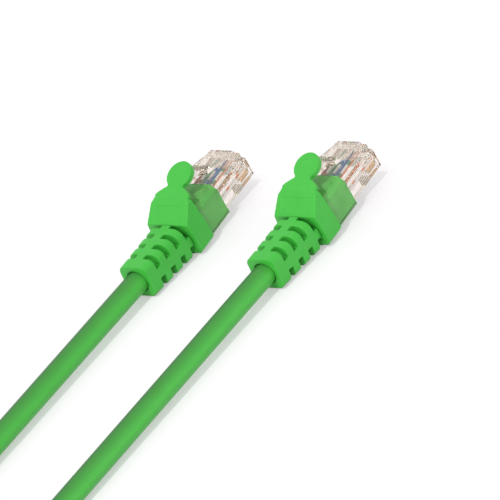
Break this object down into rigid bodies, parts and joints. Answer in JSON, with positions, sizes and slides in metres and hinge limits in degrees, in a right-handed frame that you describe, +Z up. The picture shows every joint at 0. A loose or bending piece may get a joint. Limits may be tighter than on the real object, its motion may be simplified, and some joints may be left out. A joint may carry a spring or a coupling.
{
  "type": "ethernet patch cable",
  "caption": "Short green twisted-pair patch cable laid as a hairpin, with a clear modular plug, slotted strain relief and snagless latch boot moulded on each end.",
  "frame": {"origin": "on the resting plane, at the centre of the cable's footprint (midway between the two leads)", "axes": "+X out of the plugs along the leads, +Y to the left of the plugs, +Z up, on the latch side"},
  "size_m": [0.1464, 0.0462, 0.0169],
  "materials": {
    "clear_polycarbonate": "clear moulded polycarbonate, faintly warm",
    "gold_contact": "gold-plated phosphor bronze blade",
    "boot_green": "satin moulded flexible PVC",
    "jacket_green": "extruded PVC cable jacket, fine matt grain",
    "copper": "bare copper strand",
    "insul_blue": "smooth polyethylene insulation",
    "insul_white_blue": "white polyethylene insulation with a coloured stripe",
    "insul_orange": "smooth polyethylene insulation",
    "insul_white_orange": "white polyethylene insulation with a coloured stripe",
    "insul_green": "smooth polyethylene insulation",
    "insul_white_green": "white polyethylene insulation with a coloured stripe",
    "insul_brown": "smooth polyethylene insulation",
    "insul_white_brown": "white polyethylene insulation with a coloured stripe"
  },
  "bodies": {
    "cable_loop": {"jacket_loop": "jacket_green", "blue_pair_loop": "insul_blue", "orange_pair_loop": "insul_orange", "green_pair_loop": "insul_green", "brown_pair_loop": "insul_brown", "conductors_loop": "copper"},
    "lead_a": {"jacket_lead_a": "jacket_green", "blue_pair_lead_a": "insul_blue", "orange_pair_lead_a": "insul_orange", "green_pair_lead_a": "insul_green", "brown_pair_lead_a": "insul_brown", "conductors_lead_a": "copper"},
    "plug_end_a": {"plug_housing_a": "clear_polycarbonate", "contact_blades_a": "gold_contact", "boot_hood_a": "boot_green", "boot_core_a": "boot_green", "boot_tail_a": "boot_green", "jacket_end_a": "jacket_green", "wire_white_orange_a": "insul_white_orange", "wire_orange_a": "insul_orange", "wire_white_green_a": "insul_white_green", "wire_blue_a": "insul_blue", "wire_white_blue_a": "insul_white_blue", "wire_green_a": "insul_green", "wire_white_brown_a": "insul_white_brown", "wire_brown_a": "insul_brown", "conductors_a": "copper"},
    "latch_a": {"latch_lever_a": "clear_polycarbonate"},
    "tab_a": {"boot_tab_a": "boot_green"},
    "lead_b": {"jacket_lead_b": "jacket_green", "blue_pair_lead_b": "insul_blue", "orange_pair_lead_b": "insul_orange", "green_pair_lead_b": "insul_green", "brown_pair_lead_b": "insul_brown", "conductors_lead_b": "copper"},
    "plug_end_b": {"plug_housing_b": "clear_polycarbonate", "contact_blades_b": "gold_contact", "boot_hood_b": "boot_green", "boot_core_b": "boot_green", "boot_tail_b": "boot_green", "jacket_end_b": "jacket_green", "wire_white_orange_b": "insul_white_orange", "wire_orange_b": "insul_orange", "wire_white_green_b": "insul_white_green", "wire_blue_b": "insul_blue", "wire_white_blue_b": "insul_white_blue", "wire_green_b": "insul_green", "wire_white_brown_b": "insul_white_brown", "wire_brown_b": "insul_brown", "conductors_b": "copper"},
    "latch_b": {"latch_lever_b": "clear_polycarbonate"},
    "tab_b": {"boot_tab_b": "boot_green"}
  },
  "joints": [
    {"name": "loop_flex_a", "type": "hinge", "parent": "cable_loop", "child": "lead_a", "pos_m": [-0.05386, 0.01675, 0.00283], "axis": [-0.0137, 0, 0.9999], "range_deg": [-4, 25], "stiffness_Nm_per_rad": 0.05, "deforming": ["jacket_loop", "blue_pair_loop", "orange_pair_loop", "green_pair_loop", "brown_pair_loop", "conductors_loop"]},
    {"name": "boot_flex_a", "type": "hinge", "parent": "lead_a", "child": "plug_end_a", "pos_m": [0.03713, 0.01675, 0.00407], "axis": [-0.0137, 0, 0.9999], "range_deg": [-20, 20], "stiffness_Nm_per_rad": 0.03, "deforming": ["boot_tail_a", "jacket_end_a", "wire_white_orange_a", "wire_orange_a", "wire_white_green_a", "wire_blue_a", "wire_white_blue_a", "wire_green_a", "wire_white_brown_a", "wire_brown_a", "conductors_a"]},
    {"name": "tab_press_a", "type": "hinge", "parent": "plug_end_a", "child": "tab_a", "pos_m": [0.04792, 0.01675, 0.01295], "axis": [0, 1, 0], "range_deg": [0, 20], "stiffness_Nm_per_rad": 0.0005},
    {"name": "latch_flex_a", "type": "hinge", "parent": "plug_end_a", "child": "latch_a", "pos_m": [0.06683, 0.01675, 0.01024], "axis": [0, 1, 0], "range_deg": [-5.2, 0], "stiffness_Nm_per_rad": 0.0005},
    {"name": "loop_flex_b", "type": "hinge", "parent": "cable_loop", "child": "lead_b", "pos_m": [-0.05386, -0.01675, 0.00283], "axis": [-0.0137, 0, 0.9999], "range_deg": [-25, 4], "stiffness_Nm_per_rad": 0.05, "deforming": ["jacket_loop", "blue_pair_loop", "orange_pair_loop", "green_pair_loop", "brown_pair_loop", "conductors_loop"]},
    {"name": "boot_flex_b", "type": "hinge", "parent": "lead_b", "child": "plug_end_b", "pos_m": [0.04203, -0.01675, 0.00414], "axis": [-0.0137, 0, 0.9999], "range_deg": [-20, 20], "stiffness_Nm_per_rad": 0.03, "deforming": ["boot_tail_b", "jacket_end_b", "wire_white_orange_b", "wire_orange_b", "wire_white_green_b", "wire_blue_b", "wire_white_blue_b", "wire_green_b", "wire_white_brown_b", "wire_brown_b", "conductors_b"]},
    {"name": "tab_press_b", "type": "hinge", "parent": "plug_end_b", "child": "tab_b", "pos_m": [0.05282, -0.01675, 0.01301], "axis": [0, 1, 0], "range_deg": [0, 20], "stiffness_Nm_per_rad": 0.0005},
    {"name": "latch_flex_b", "type": "hinge", "parent": "plug_end_b", "child": "latch_b", "pos_m": [0.07173, -0.01675, 0.01031], "axis": [0, 1, 0], "range_deg": [-5.2, 0], "stiffness_Nm_per_rad": 0.0005}
  ],
  "couplings": [
    {"joint": "latch_flex_a", "follows": "tab_press_a", "ratio": -0.247},
    {"joint": "latch_flex_b", "follows": "tab_press_b", "ratio": -0.247}
  ]
}
